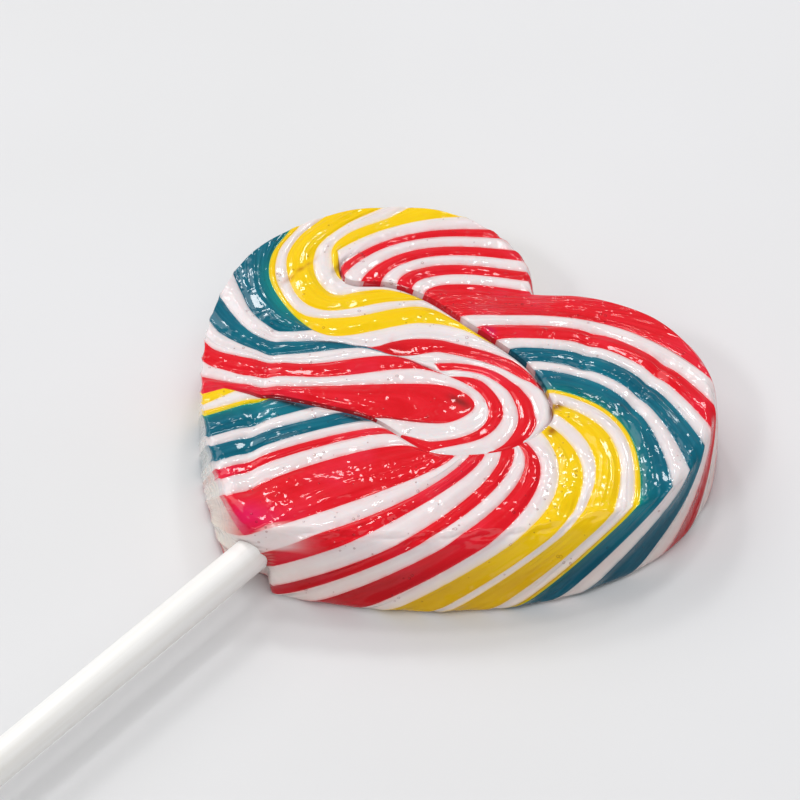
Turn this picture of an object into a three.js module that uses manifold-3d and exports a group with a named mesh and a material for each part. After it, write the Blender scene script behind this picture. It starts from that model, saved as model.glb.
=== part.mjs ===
// A heart-shaped swirl lollipop of pulled hard sugar on a straight round stick, lying flat.
//
// Millimetres. The origin is the middle of the heart's flat underside, +Y runs along the stick's axis
// towards the cleft between the lobes, the stick points to -Y, and +Z is up.
//
// The candy is one fused solid: a rope of coloured strands was coiled, pressed flat and pinched into a
// heart. Every strand runs from the underside's edge up the wall, over the ridge and across the top to
// one long seam, a groove that winds through the middle of the heart. Outside that seam the strands
// fan out to the rim (the fan). Inside it they come in from the left rim and wind round its hooks (the
// coil). Both sets are lists of columns of points, and the skin is laced between neighbouring columns.

import * as THREE from "three";
import { mergeVertices } from "three/addons/utils/BufferGeometryUtils.js";
import Module from "manifold-3d";

// ---- Driving dimensions ----

const THICKNESS = 14; // underside to ridge
const DOME = 0.5; // how far the middle of the top stands above the ridge
const DOME_REACH = 14; // distance from the rim at which the dome is at its full height

// The heart's outline at its widest, as two half curves of three arcs each, from the cleft over the
// lobe and the widest point to the tip. Handles are the lengths of the arcs' tangents.
const CLEFT_Y = 33;
const TIP_Y = -41.3;
const RIGHT_HALF = {
  side: 1, cleftAngle: 0.6, cleftHandle: 8.7,
  topX: 20.3, topY: 42.6, topIn: 3.7, topOut: 21.3,
  wideX: 47.2, wideY: 12.6, wideIn: 7.4, wideOut: 34, tipHandle: 5.6,
};
const LEFT_HALF = {
  side: -1, cleftAngle: 0.5, cleftHandle: 8,
  topX: 18.2, topY: 41.4, topIn: 6, topOut: 9.5,
  wideX: 45.5, wideY: 8.4, wideIn: 21.3, wideOut: 20.8, tipHandle: 11.9,
};

// How far the ridge stands in from the outline. Rim places are shares of the way round, clockwise
// from the cleft.
const RIDGE_INSET = [
  [0, 2.2], [0.12, 2.2], [0.24, 1.4], [0.306, 4.2], [0.388, 5.2], [0.471, 3.6],
  [0.516, 1.2], [0.568, 2], [0.742, 2.2], [0.903, 2.4], [1, 2.2],
];
const WALL_SMOOTHING = 6; // the wall's direction is averaged this far each way along the rim

// The wall's section at an inset of 4 mm, as [distance in from the outline, height].
const SECTION_INSET = 4;
const SECTION = {
  ridge: [4, 14], shoulder: [2.88, 13.9], drop: [2.48, 12.1],
  belly: [0.12, 2.6], under: [-0.12, 0.2], foot: [1.68, 0],
};

const STICK_DIAMETER = 6;
const STICK_HEIGHT = 7; // of its axis
const STICK_LENGTH = 150;
const STICK_SUNK = 36; // how much of it is inside the candy
const STICK_EDGE = 0.5; // rounding of its ends
const SOCKET_GAP = 0.3;

// The seam, from its open end at the upper left, round the hooks, to its end near the left rim.
const SEAM = [
  [-32.4, 17.1], [-27, 12.5], [-25, 12.5], [-19.5, 16.5], [-13, 18], [-4, 17.9], [10, 17],
  [16.5, 14.5], [21.5, 10], [21, 1], [16.5, -5.2], [11, -9], [-1, -9.5], [-9.4, -12.8], [-28.2, -22.2],
];
const SEAM_END = 121; // distance along the seam at which its groove closes
const GROOVE_WIDTH = 0.7;
const GROOVE_DEPTH = 1.4;
const GROOVE_FADE = 4; // over this distance at both ends the groove closes up

// Steps in height across the seam, as [distance along it, height of the fan's side, of the coil's side].
const SEAM_STEP = [
  [0, 0, 0], [8, 0.8, -0.3], [45, 0.7, -0.3], [60, 0.1, 0], [75, -0.2, 0.5], [112, -0.4, 0.8], [121, 0, 0],
];
const STEP_REACH = 7; // distance from the seam at which the step has died away

// The fan's strands, clockwise from the seam's open end: [colour, width at the seam, width at the ridge].
const FAN_START = { seam: 0, ridge: 257.3 };
const FAN = [
  ["white", 4.4, 6.7], ["red", 2.6, 3.5], ["white", 3.8, 4.2], ["red", 3.5, 3.3], ["white", 2.7, 3.4],
  ["red", 2.8, 2.1], ["white", 2.5, 1.8], ["red", 8.2, 41.4], ["white", 3.7, 6.8], ["red", 4.5, 5.5],
  ["white", 3.1, 4.5], ["teal", 4, 6.4], ["white", 2.3, 5], ["teal", 4.5, 5.8], ["yellow", 1.1, 2.5],
  ["white", 2.6, 3.6], ["yellow", 2.1, 6.9], ["white", 2.8, 2.2], ["yellow", 1.9, 6.5],
  ["white", 3.5, 4.5], ["red", 1.3, 7.2], ["white", 1, 4.8], ["red", 2.3, 3.6], ["white", 2.7, 7.8],
  ["red", 2.5, 7.4], ["white", 2.4, 9], ["red", 6.6, 11.6], ["white", 4, 4], ["red", 2.3, 2.2],
  ["white", 3.3, 2], ["teal", 5.2, 3.6], ["white", 4.6, 2.2], ["teal", 8.3, 4.9], ["yellow", 1.3, 1.2],
  ["white", 4.6, 1.5], ["yellow", 2, 2.5],
];
// How the fan's strands bend on their way, by the place of their end on the ridge, in millimetres
// clockwise from the cleft: [place, bow, skew, sweep]. Bow is the sideways pull of the curve and skew
// its pull towards the ridge, both as shares of its length. Sweep is how far it drifts down the wall.
const FAN_BEND = [
  [-26, -0.17, 0, 18], [-19, -0.27, -0.08, 18], [-12, -0.36, -0.18, 18], [-1, -0.28, -0.38, 18],
  [4, -0.04, -0.11, 18], [12, -0.07, -0.05, 18], [24, -0.12, 0.03, 18], [33, -0.2, -0.03, 18],
  [41, -0.31, 0.04, 18],
  [50, -0.36, -0.06, 19], [64, -0.4, -0.12, 27], [80, -0.47, -0.12, 26], [96, -0.36, -0.04, 27],
  [104, -0.37, -0.3, 27], [114, -0.2, -0.24, 29], [124, -0.12, -0.32, 30], [132, -0.14, -0.15, 27],
  [141, -0.08, -0.38, 21], [152, 0.12, -0.36, 13.5], [159, 0.08, -0.4, 10.5], [164, 0, -0.1, 11.5],
  [177, 0, 0, 14],
];

// The coil's edges from the outside in: each leaves the ridge at a rim place, passes its points and
// ends on the seam. A strand lies between each edge and the next one.
const COIL_SWEEP = [[176, 14], [184, 18], [258, 18]];
const COIL = [
  { ridge: FAN_START.ridge, seam: FAN_START.seam },
  { ridge: 246.7, seam: 8.1, through: [[-31.5, 29.5], [-34, 22], [-33.5, 17], [-28.5, 12.5]] },
  {
    ridge: 241.7, seam: 20.6,
    through: [[-36, 23], [-35.5, 15], [-30.5, 9.5], [-25.2, 8.4], [-22.6, 12], [-20, 15], [-17.5, 16.4]],
  },
  { ridge: 230.4, seam: 22.6, through: [[-40, 15.5], [-37.5, 9.5], [-29, 3.7], [-23.8, 4.5], [-17, 13.5]] },
  { ridge: 225.2, seam: 30.8, through: [[-40.2, 10.5], [-35, 4.4], [-26, 1.2], [-20, 5.5], [-12, 16.2]] },
  {
    ridge: 221.6, seam: 38.4,
    through: [[-40.5, 7.5], [-36, 3], [-25, -0.5], [-19, 0.5], [-9.5, 13], [-4, 16.3]],
  },
  {
    ridge: 200.7, seam: 43,
    through: [[-29.5, -7], [-24, -5.5], [-17, 1], [-12.5, 3], [-7.5, 10.5], [1, 15.8]],
  },
  { ridge: 194.5, seam: 49.9, through: [[-34.5, -10.5], [-24, -9], [-13.5, 2], [-7, 4.5], [-1.5, 11], [8, 15.4]] },
  {
    ridge: 189, seam: 82.8,
    through: [[-31.5, -14.5], [-18.5, -8], [-7.5, 4], [0.5, 6], [7, 9], [14.5, 6], [16, 0]],
  },
  { ridge: 184.4, seam: 88.9, through: [[-29, -17.5], [-15, -9], [-2.5, 4.5], [9.5, 6.5], [13, 2], [9, -6.5]] },
  { ridge: 180.6, seam: 94.8, through: [[-19, -15.5], [4.5, 4.7], [10, 4], [9.5, -1.5]] },
];
const COIL_LAST = { ridge: 176.5, seam: 94.8 }; // the innermost strand's far edge follows the seam back

// Folds where the soft rope sagged or was pinched: [points along it, depth, half width].
const FOLDS = [
  { through: [[-26.6, -5.2], [-23.9, -9.3], [-19.3, -16.3], [-12.9, -26], [-5.6, -34.5]], depth: 0.6, reach: 1.6 },
  { through: [[-34.4, 5.3], [-34.9, 13.9]], depth: 0.4, reach: 1 },
  { through: [[14.2, 29.8], [17.6, 22.9]], depth: 0.45, reach: 1.5 },
  { through: [[27.3, 32.8], [27.9, 29.8], [28.6, 25.7], [30.5, 19.6]], depth: 0.5, reach: 1.6 },
  { through: [[37, -2.9], [44.2, 4.8], [46, 9.9]], depth: 0.5, reach: 1.6 },
];

const CROWN = 0.34; // how far the middle of a wide strand stands above its edges
const CROWN_WIDTH = 3; // width at which a strand reaches most of that height

// Fineness of the skin
const COLUMNS_PER_STRAND = 3;
const WIDE_STRAND = 9; // ridge width above which a strand has more columns
const FAN_ROWS = 13;
const COIL_ROWS = 34;
const COIL_STEP = 1.8; // spacing of the points along the coil's edges and the seam
const WALL_ROWS = 7;
const RIM_SAMPLES = 900;
const STICK_SIDES = 28;

const CANDY_COLOUR = 0xd83048;
const STICK_COLOUR = 0xe4e2dd;

// ---- Small helpers ----

const lerp = THREE.MathUtils.lerp;
const wrap = (value, period) => ((value % period) + period) % period;
const smoothstep = (value, low, high) => THREE.MathUtils.smoothstep(value, low, high);

/** Reads column `column` of a station table at `place`, on a smooth curve through the stations. */
function station(table, place, column = 1) {
  const next = table.findIndex((row) => row[0] >= place);
  if (next === 0) return table[0][column];
  if (next < 0) return table.at(-1)[column];
  const slope = (low, high) => (table[high][column] - table[low][column]) / (table[high][0] - table[low][0]);
  const span = table[next][0] - table[next - 1][0];
  const way = (place - table[next - 1][0]) / span;
  const leaving = slope(Math.max(next - 2, 0), next) * span;
  const arriving = slope(next - 1, Math.min(next + 1, table.length - 1)) * span;
  const [from, to] = [table[next - 1][column], table[next][column]];
  const ease = way * way * (3 - 2 * way);
  return lerp(from, to, ease) + way * (1 - way) * (leaving * (1 - way) - arriving * way);
}

/** A line of points in the plane that is read by distance along it. */
class Track {
  constructor(points) {
    this.points = points;
    this.marks = [0];
    for (let i = 1; i < points.length; i++) {
      this.marks.push(this.marks[i - 1] + points[i].distanceTo(points[i - 1]));
    }
    this.length = this.marks.at(-1);
  }

  static through(places, perSpan = 24) {
    const knots = places.map(([x, y]) => new THREE.Vector3(x, y, 0));
    const curve = new THREE.CatmullRomCurve3(knots, false, "centripetal");
    const samples = curve.getPoints(perSpan * (knots.length - 1));
    return new Track(samples.map((p) => new THREE.Vector2(p.x, p.y)));
  }

  at(distance) {
    const d = THREE.MathUtils.clamp(distance, 0, this.length);
    let high = this.marks.findIndex((mark) => mark >= d);
    high = Math.max(high, 1);
    const share = (d - this.marks[high - 1]) / (this.marks[high] - this.marks[high - 1] || 1);
    return this.points[high - 1].clone().lerp(this.points[high], share);
  }

  /** Left-hand normal of the line at a distance along it. */
  normal(distance) {
    const ahead = this.at(distance + 0.5).sub(this.at(distance - 0.5)).normalize();
    return new THREE.Vector2(-ahead.y, ahead.x);
  }

  /** The nearest place on the line to a point, as { along, away }. */
  nearest(point) {
    let best = { along: 0, away: Infinity };
    for (let i = 1; i < this.points.length; i++) {
      const span = this.points[i].clone().sub(this.points[i - 1]);
      const reach = point.clone().sub(this.points[i - 1]);
      const share = THREE.MathUtils.clamp(reach.dot(span) / (span.lengthSq() || 1), 0, 1);
      const away = reach.addScaledVector(span, -share).length();
      if (away < best.away) best = { along: lerp(this.marks[i - 1], this.marks[i], share), away };
    }
    return best;
  }
}

// ---- The rim and the wall ----

function halfOutline(half) {
  const { side } = half;
  const path = new THREE.Path();
  path.moveTo(0, CLEFT_Y);
  path.bezierCurveTo(
    side * half.cleftHandle * Math.sin(half.cleftAngle), CLEFT_Y + half.cleftHandle * Math.cos(half.cleftAngle),
    side * (half.topX - half.topIn), half.topY, side * half.topX, half.topY,
  );
  path.bezierCurveTo(
    side * (half.topX + half.topOut), half.topY,
    side * half.wideX, half.wideY + half.wideIn, side * half.wideX, half.wideY,
  );
  path.bezierCurveTo(
    side * half.wideX, half.wideY - half.wideOut, side * half.tipHandle, TIP_Y, 0, TIP_Y,
  );
  return path.getSpacedPoints(RIM_SAMPLES / 2);
}

const outline = new Track([...halfOutline(RIGHT_HALF), ...halfOutline(LEFT_HALF).reverse().slice(1)]);
const RIM = outline.length;

function rimPoint(place) {
  return outline.at(wrap(place, RIM));
}

/** Inward direction at a rim place, averaged along the rim so that it turns softly at the cleft and tip. */
function inward(place) {
  const sum = new THREE.Vector2();
  for (let offset = -WALL_SMOOTHING; offset <= WALL_SMOOTHING; offset += 0.5) {
    const ahead = rimPoint(place + offset + 0.5).sub(rimPoint(place + offset - 0.5)).normalize();
    const weight = Math.cos((offset / WALL_SMOOTHING) * (Math.PI / 2)) ** 2;
    sum.x += ahead.y * weight;
    sum.y -= ahead.x * weight;
  }
  return sum.normalize();
}

function wallSection() {
  const path = new THREE.Path();
  path.moveTo(...SECTION.ridge);
  path.quadraticCurveTo(...SECTION.shoulder, ...SECTION.drop);
  path.lineTo(...SECTION.belly);
  path.quadraticCurveTo(...SECTION.under, ...SECTION.foot);
  return new Track(path.getSpacedPoints(120));
}

const section = wallSection();

/** A point of the wall: rim place, distance down the section from the ridge, and swell out of the wall. */
function wallPoint(place, down, swell = 0) {
  const inset = station(RIDGE_INSET, wrap(place, RIM) / RIM) / SECTION_INSET;
  const at = section.at(down);
  const out = section.normal(down);
  const fade = smoothstep(section.length - down, 0, 3);
  const distance = at.x * inset + out.x * swell * fade;
  const edge = rimPoint(place).addScaledVector(inward(place), distance);
  return new THREE.Vector3(edge.x, edge.y, at.y + out.y * swell * fade);
}

// ---- The top ----

const seam = Track.through(SEAM);
const folds = FOLDS.map((fold) => ({ ...fold, track: Track.through(fold.through) }));
const ridgeLine = new Track(
  Array.from({ length: 241 }, (_, i) => wallPoint((i / 240) * RIM, 0)).map((p) => new THREE.Vector2(p.x, p.y)),
);
const FAN_SIDE = 1;
const COIL_SIDE = 2;

function grooveShare(along) {
  return smoothstep(along, 0, GROOVE_FADE) * smoothstep(SEAM_END - along, 0, GROOVE_FADE);
}

/** The seam's edge on one side of its groove. */
function seamEdge(along, side) {
  const half = (GROOVE_WIDTH / 2) * grooveShare(along) * (side === FAN_SIDE ? 1 : -1);
  return seam.at(along).addScaledVector(seam.normal(along), half);
}

/** Height of the top at a point: thickness, dome, step at the seam, folds and the strand's own crown. */
function topPoint(point, side, crown) {
  const { along, away } = seam.nearest(point);
  const rim = ridgeLine.nearest(point).away;
  const dome = DOME * smoothstep(rim, 0, DOME_REACH);
  const inside = smoothstep(rim, 0, 3);
  const step = station(SEAM_STEP, along, side) * (1 - smoothstep(away, 0, STEP_REACH)) * inside;
  let sag = 0;
  for (const fold of folds) {
    sag += fold.depth * Math.exp(-((fold.track.nearest(point).away / fold.reach) ** 2)) * inside;
  }
  return new THREE.Vector3(point.x, point.y, THICKNESS + dome + step - sag + crown);
}

/** Crown of a strand of some width at a share of the way across it. */
function crownAt(share, width) {
  return CROWN * 4 * share * (1 - share) * (1 - Math.exp(-width / CROWN_WIDTH));
}

/** The part of a column below the ridge, from the ridge down to the foot. */
function wallColumn(place, sweep, crown) {
  return Array.from({ length: WALL_ROWS + 1 }, (_, row) => {
    const share = row / WALL_ROWS;
    return wallPoint(place + sweep * share, section.length * share, crown);
  });
}

// ---- Columns of the fan ----

/** One line of the fan, from the seam to the ridge. */
function fanCurve(along, ridgePlace) {
  const place = ridgePlace > (FAN_START.ridge + COIL_LAST.ridge) / 2 ? ridgePlace - RIM : ridgePlace;
  const bow = station(FAN_BEND, place, 1);
  const skew = station(FAN_BEND, place, 2);
  const start = seamEdge(along, FAN_SIDE);
  const ridge = wallPoint(ridgePlace, 0);
  const end = new THREE.Vector2(ridge.x, ridge.y);
  const chord = end.clone().sub(start);
  const pull = start.clone().addScaledVector(chord, 0.5 + skew);
  pull.add(new THREE.Vector2(chord.y, -chord.x).multiplyScalar(bow));
  return new THREE.QuadraticBezierCurve(start, pull, end);
}

function fanColumns() {
  const columns = [];
  let along = FAN_START.seam;
  let ridge = FAN_START.ridge;
  for (const [, seamWidth, ridgeWidth] of FAN) {
    const count = ridgeWidth > WIDE_STRAND ? 3 * COLUMNS_PER_STRAND : COLUMNS_PER_STRAND;
    for (let i = 0; i < count; i++) {
      columns.push({ share: i / count, along, ridge, seamWidth, ridgeWidth });
    }
    along += seamWidth;
    ridge += ridgeWidth;
  }
  return columns.slice(1).map(({ share, along: from, ridge: rim, seamWidth, ridgeWidth }) => {
    const seamPlace = ((from + share * seamWidth) / along) * SEAM_END;
    const ridgePlace = rim + share * ridgeWidth;
    const curve = fanCurve(seamPlace, wrap(ridgePlace, RIM));
    const top = curve.getPoints(FAN_ROWS).map((point, row) => {
      const width = lerp(seamWidth, ridgeWidth, row / FAN_ROWS);
      return topPoint(point, FAN_SIDE, crownAt(share, width) * smoothstep(row, -1, 3));
    });
    const swell = crownAt(share, ridgeWidth);
    const sweepPlace = wrap(ridgePlace, RIM) > FAN_START.ridge - 1 ? ridgePlace - RIM : wrap(ridgePlace, RIM);
    const wall = wallColumn(ridgePlace, station(FAN_BEND, sweepPlace, 3), swell);
    top[FAN_ROWS] = wall[0];
    return { top, wall };
  });
}

// ---- Columns of the coil ----

/** Points spread evenly along a track. */
function evenly(track, count) {
  return Array.from({ length: count + 1 }, (_, i) => track.at((track.length * i) / count));
}

/** Points along the coil's side of the seam, after `from` and up to `to`. */
function seamPoints(from, to) {
  const count = Math.ceil(Math.abs(to - from) / COIL_STEP);
  return Array.from({ length: count }, (_, i) => seamEdge(lerp(from, to, (i + 1) / count), COIL_SIDE));
}

/** The coil's edges in the plane, each from the ridge to its end on the seam. */
function coilEdges() {
  const edges = COIL.map(({ ridge, seam: along, through }, i) => {
    const start = wallPoint(ridge, 0);
    const end = seamEdge(along, COIL_SIDE);
    const track = i
      ? Track.through([[start.x, start.y], ...through, [end.x, end.y]])
      : new Track(fanCurve(along, ridge).getPoints(60).reverse());
    return evenly(track, Math.round(track.length / COIL_STEP));
  });
  const rim = wallPoint(COIL_LAST.ridge, 0);
  const toCorner = new Track([new THREE.Vector2(rim.x, rim.y), seamEdge(SEAM_END, COIL_SIDE)]);
  const count = Math.round(toCorner.length / COIL_STEP);
  edges.push([...evenly(toCorner, count), ...seamPoints(SEAM_END, COIL_LAST.seam)]);
  return edges;
}

/** For each row of a track, in order, the place on the other track that faces it. */
function facing(rows, track) {
  const last = rows.length - 1;
  const least = (0.3 * track.length) / last;
  let places = rows.map((point) => track.nearest(point).along);
  for (let pass = 0; pass < 8; pass++) {
    places[0] = 0;
    places[last] = track.length;
    for (let i = 1; i < last; i++) places[i] = Math.max(places[i], places[i - 1] + least);
    for (let i = last - 1; i > 0; i--) places[i] = Math.min(places[i], places[i + 1] - least);
    places = places.map((place, i) => (i % last ? (places[i - 1] + 2 * place + places[i + 1]) / 4 : place));
  }
  return places;
}

/** The columns of one strand of the coil, both of its edges included. */
function coilStrand(outer, inner, start, end) {
  const outerTrack = new Track([...outer, ...seamPoints(start.seam, end.seam)]);
  const innerTrack = new Track(inner);
  const rows = evenly(innerTrack, COIL_ROWS);
  const across = facing(rows, outerTrack).map((place) => outerTrack.at(place));
  const widest = Math.max(...rows.map((point, row) => point.distanceTo(across[row])));
  const count = widest > WIDE_STRAND ? 2 * COLUMNS_PER_STRAND : COLUMNS_PER_STRAND;
  const columns = [];
  for (let i = 0; i <= count; i++) {
    const share = i / count;
    const ridgePlace = lerp(start.ridge, end.ridge, share);
    const swell = crownAt(share, Math.abs(start.ridge - end.ridge));
    const wall = wallColumn(ridgePlace, station(COIL_SWEEP, ridgePlace), swell);
    const shift = new THREE.Vector2(wall[0].x, wall[0].y).sub(across[0].clone().lerp(rows[0], share));
    const between = rows.map((point, row) => {
      const spot = across[row].clone().lerp(point, share);
      return spot.addScaledVector(shift, 1 - smoothstep(row / COIL_ROWS, 0, 0.2));
    });
    const plan = i === 0 ? outerTrack.points : i === count ? inner : between;
    const top = plan.map((point, row) => {
      const width = i % count ? across[row].distanceTo(rows[row]) : 0;
      return topPoint(point, COIL_SIDE, crownAt(share, width));
    });
    top[0] = wall[0];
    columns.push({ top, wall });
  }
  return columns;
}

function coilStrands() {
  const edges = coilEdges();
  const places = [...COIL, COIL_LAST];
  return COIL.map((start, i) => coilStrand(edges[i], edges[i + 1], start, places[i + 1]));
}

// ---- The skin ----

class Skin {
  constructor() {
    this.corners = [];
  }

  triangle(a, b, c) {
    const flat = a.distanceTo(b) < 1e-4 || b.distanceTo(c) < 1e-4 || c.distanceTo(a) < 1e-4;
    if (!flat) this.corners.push(a, b, c);
  }

  /** Laces two lines of points together, always across the shorter way. The second lies to the left. */
  lace(right, left) {
    let i = 0;
    let j = 0;
    while (i < right.length - 1 || j < left.length - 1) {
      const rightNext = i < right.length - 1 ? right[i + 1].distanceTo(left[j]) : Infinity;
      const leftNext = j < left.length - 1 ? left[j + 1].distanceTo(right[i]) : Infinity;
      if (rightNext < leftNext) {
        this.triangle(right[i], right[i + 1], left[j]);
        i += 1;
      } else {
        this.triangle(right[i], left[j + 1], left[j]);
        j += 1;
      }
    }
  }

  geometry() {
    const geometry = new THREE.BufferGeometry().setFromPoints(this.corners);
    return mergeVertices(geometry, 1e-4);
  }
}

/** Which point of a column lies on the seam at a place. */
function indexOnSeam(points, along) {
  const spot = seamEdge(along, COIL_SIDE);
  return points.findIndex((point) => Math.hypot(point.x - spot.x, point.y - spot.y) < 1e-6);
}

function candyGeometry() {
  const fan = fanColumns();
  const coil = coilStrands();
  const skin = new Skin();

  // The coil's first edge is the fan's first line, and its last edge is the fan's last line up to the
  // corner where it turns to follow the seam.
  const opening = coil[0][0];
  const closing = coil.at(-1).at(-1);
  const start = indexOnSeam(opening.top, FAN_START.seam);
  const corner = indexOnSeam(closing.top, SEAM_END);
  const around = [
    { top: opening.top.slice(0, start + 1).reverse(), wall: opening.wall },
    ...fan,
    { top: closing.top.slice(0, corner + 1).reverse(), wall: closing.wall },
  ];
  for (let i = 1; i < around.length; i++) {
    skin.lace(around[i].top, around[i - 1].top);
    skin.lace(around[i].wall, around[i - 1].wall);
  }
  for (const strand of coil) {
    for (let i = 1; i < strand.length; i++) {
      skin.lace(strand[i].top, strand[i - 1].top);
      skin.lace(strand[i - 1].wall, strand[i].wall);
    }
  }

  // The groove of the seam
  const fanEdge = around.map((column) => column.top[0]);
  const coilEdge = [
    fanEdge[0],
    ...COIL.slice(1).flatMap((edge, i) => seamPoints(COIL[i].seam, edge.seam))
      .map((point) => topPoint(point, COIL_SIDE, 0)),
    ...closing.top.slice(corner, -1).reverse(),
  ];
  const bottom = fanEdge.map((point, i) => {
    const { along } = seam.nearest(new THREE.Vector2(point.x, point.y));
    const middle = seam.at(along);
    const depth = GROOVE_DEPTH * grooveShare(along);
    const end = i === 0 || i === fanEdge.length - 1;
    return end ? point : new THREE.Vector3(middle.x, middle.y, THICKNESS + DOME - depth);
  });
  skin.lace(bottom, fanEdge);
  skin.lace(coilEdge, bottom);

  // The flat underside
  const feet = [
    ...around.map((column) => column.wall.at(-1)),
    ...coil.flatMap((strand) => strand.slice(1)).slice(0, -1).map((column) => column.wall.at(-1)).reverse(),
  ];
  for (const [a, b, c] of THREE.ShapeUtils.triangulateShape(feet.map((p) => new THREE.Vector2(p.x, p.y)), [])) {
    skin.triangle(feet[a], feet[c], feet[b]);
  }
  return skin.geometry();
}

// ---- Solids ----

const wasm = await Module();
wasm.setup();

function toSolid(geometry) {
  const plain = geometry.clone();
  plain.deleteAttribute("normal");
  plain.deleteAttribute("uv");
  const merged = mergeVertices(plain, 1e-4);
  return new wasm.Manifold(new wasm.Mesh({
    numProp: 3,
    vertProperties: new Float32Array(merged.attributes.position.array),
    triVerts: new Uint32Array(merged.index.array),
  }));
}

function toGeometry(solid) {
  const mesh = solid.getMesh();
  const geometry = new THREE.BufferGeometry();
  geometry.setAttribute("position", new THREE.BufferAttribute(mesh.vertProperties, mesh.numProp));
  geometry.setIndex(new THREE.BufferAttribute(mesh.triVerts, 1));
  geometry.computeVertexNormals();
  return geometry;
}

/** A round bar with rounded ends, from `start` to `end` along Y. */
function bar(radius, edge, start, end) {
  const length = end - start;
  const profile = [[0, 0], [radius - edge, 0], [radius, edge], [radius, length - edge], [radius - edge, length], [0, length]];
  const points = profile.map(([x, y]) => new THREE.Vector2(x, y));
  const geometry = new THREE.LatheGeometry(points, STICK_SIDES);
  geometry.translate(0, start, STICK_HEIGHT);
  return geometry;
}

function makeCandy() {
  const inner = TIP_Y + STICK_SUNK;
  const socket = bar(STICK_DIAMETER / 2 + SOCKET_GAP, STICK_EDGE, TIP_Y - STICK_SUNK, inner + SOCKET_GAP);
  const solid = toSolid(candyGeometry()).subtract(toSolid(socket));
  const material = new THREE.MeshStandardMaterial({ color: CANDY_COLOUR, roughness: 0.12, metalness: 0 });
  const mesh = new THREE.Mesh(toGeometry(solid), material);
  mesh.name = "candy";
  return mesh;
}

function makeStick() {
  const inner = TIP_Y + STICK_SUNK;
  const geometry = bar(STICK_DIAMETER / 2, STICK_EDGE, inner - STICK_LENGTH, inner);
  const material = new THREE.MeshStandardMaterial({ color: STICK_COLOUR, roughness: 0.5, metalness: 0 });
  const mesh = new THREE.Mesh(geometry, material);
  mesh.name = "stick";
  return mesh;
}

const lollipop = new THREE.Group();
lollipop.add(makeCandy(), makeStick());

export default lollipop;
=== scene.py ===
"""Looks of a heart-shaped swirl lollipop that lies on a pale floor.

The candy is one fused skin of pulled sugar strands. Every strand is a grid that runs from the foot of
the wall over the ridge to the long seam in the middle of the heart, and all grids are merged into one
closed piece. Sizes are millimetres; pieces are brought to metres when their meshes are made.
"""

import logging
import math
from dataclasses import dataclass, field
from enum import Enum

import bmesh
import bpy
import numpy as np
from mathutils import Matrix, Vector
from numpy.linalg import norm


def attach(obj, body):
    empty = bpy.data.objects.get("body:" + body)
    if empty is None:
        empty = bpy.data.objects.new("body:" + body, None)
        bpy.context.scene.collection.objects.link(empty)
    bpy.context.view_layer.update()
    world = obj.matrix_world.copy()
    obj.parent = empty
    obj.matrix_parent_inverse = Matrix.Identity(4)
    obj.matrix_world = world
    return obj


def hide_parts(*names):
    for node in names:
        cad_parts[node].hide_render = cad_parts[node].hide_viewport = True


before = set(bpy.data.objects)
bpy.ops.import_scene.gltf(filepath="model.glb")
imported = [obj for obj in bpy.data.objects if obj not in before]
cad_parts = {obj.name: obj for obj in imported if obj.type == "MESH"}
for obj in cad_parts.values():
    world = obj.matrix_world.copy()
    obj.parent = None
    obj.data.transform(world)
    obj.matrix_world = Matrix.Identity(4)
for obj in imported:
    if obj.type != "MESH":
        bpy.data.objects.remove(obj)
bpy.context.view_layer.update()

MM = 0.001
LOG = logging.getLogger("lollipop")
Array = np.ndarray
BMesh = bmesh.types.BMesh
Object = bpy.types.Object
Socket = bpy.types.NodeSocket

SIGHT = 0.5  # how far each way a line is looked along to read its direction
CHUNK = 4096  # points measured against a line at a time
COLUMN_WIDTH = 0.6
LEAST_COLUMNS = 6


# ---- Curves ----


def lerp(start: Array, end: Array, share: Array) -> Array:
    """Value at a share of the way from start to end."""
    return start + (end - start) * share


def smooth(value: Array, low: float, high: float) -> Array:
    """Smooth step from 0 at low to 1 at high."""
    way = np.clip((np.asarray(value, float) - low) / (high - low), 0.0, 1.0)
    return way * way * (3.0 - 2.0 * way)


def unit(vectors: Array) -> Array:
    """The same directions at a length of one."""
    return vectors / norm(vectors, axis=-1, keepdims=True)


def column_shares(width: float) -> Array:
    """Shares of the way across a strand, one for each column of its grid."""
    return np.linspace(0.0, 1.0, max(LEAST_COLUMNS, math.ceil(width / COLUMN_WIDTH)) + 1)


def stations(table: tuple, place: Array, column: int = 1) -> Array:
    """Reads a table of stations on a smooth curve through them.

    Args:
        table: rows of numbers, the first of each row its place.
        place: where the table is read.
        column: which number of the rows is read.

    Returns:
        The values at the places.
    """
    rows = np.asarray([(row[0], row[column]) for row in table], float)
    x, y = rows[:, 0], rows[:, 1]
    place = np.clip(np.asarray(place, float), x[0], x[-1])
    after = np.clip(np.searchsorted(x, place), 1, len(x) - 1)
    before = after - 1
    low, high = np.maximum(before - 1, 0), np.minimum(after + 1, len(x) - 1)
    span = x[after] - x[before]
    way = (place - x[before]) / span
    leaving = (y[after] - y[low]) / (x[after] - x[low]) * span
    arriving = (y[high] - y[before]) / (x[high] - x[before]) * span
    ease = way * way * (3.0 - 2.0 * way)
    pull = way * (1.0 - way) * (leaving * (1.0 - way) - arriving * way)
    return lerp(y[before], y[after], ease) + pull


def bezier(knots: list, count: int) -> Array:
    """Points of a Bezier curve of any degree.

    Args:
        knots: its control points.
        count: how many points are made.

    Returns:
        The points, from end to end.
    """
    way = np.linspace(0.0, 1.0, count)[:, None, None]
    level = np.asarray(knots, float)[None] * np.ones_like(way)
    while level.shape[1] > 1:
        level = lerp(level[:, :-1], level[:, 1:], way)
    return level[:, 0]


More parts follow.
